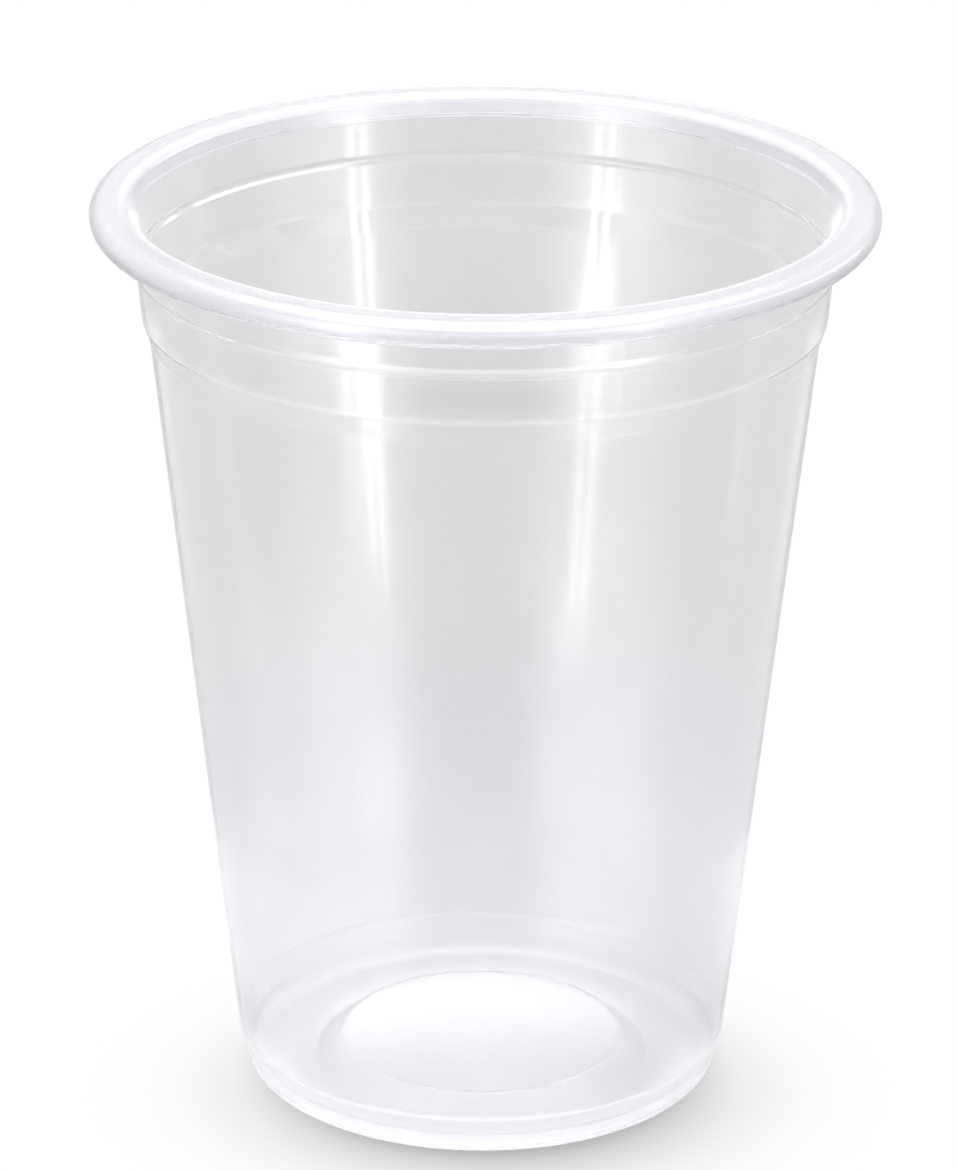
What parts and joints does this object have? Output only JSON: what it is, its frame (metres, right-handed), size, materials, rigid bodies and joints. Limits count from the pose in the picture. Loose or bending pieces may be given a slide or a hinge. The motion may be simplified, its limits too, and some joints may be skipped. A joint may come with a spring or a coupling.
{
  "type": "plastic disposable cup",
  "caption": "Tapered clear plastic drinking cup with a curled rim, a stepped stacking collar with a fine ring, a small foot step and a raised panel in the floor.",
  "frame": {"origin": "centre of the circle that the cup stands on, in the plane of the surface under it", "axes": "+Z along the cup's axis, up out of its mouth; the cup is round, so X and Y are any two directions across it"},
  "size_m": [0.095, 0.095, 0.1135],
  "materials": {
    "clear_plastic": "clear, glossy, slightly hazy polypropylene"
  },
  "bodies": {
    "root": {"cup": "clear_plastic"}
  },
  "joints": []
}
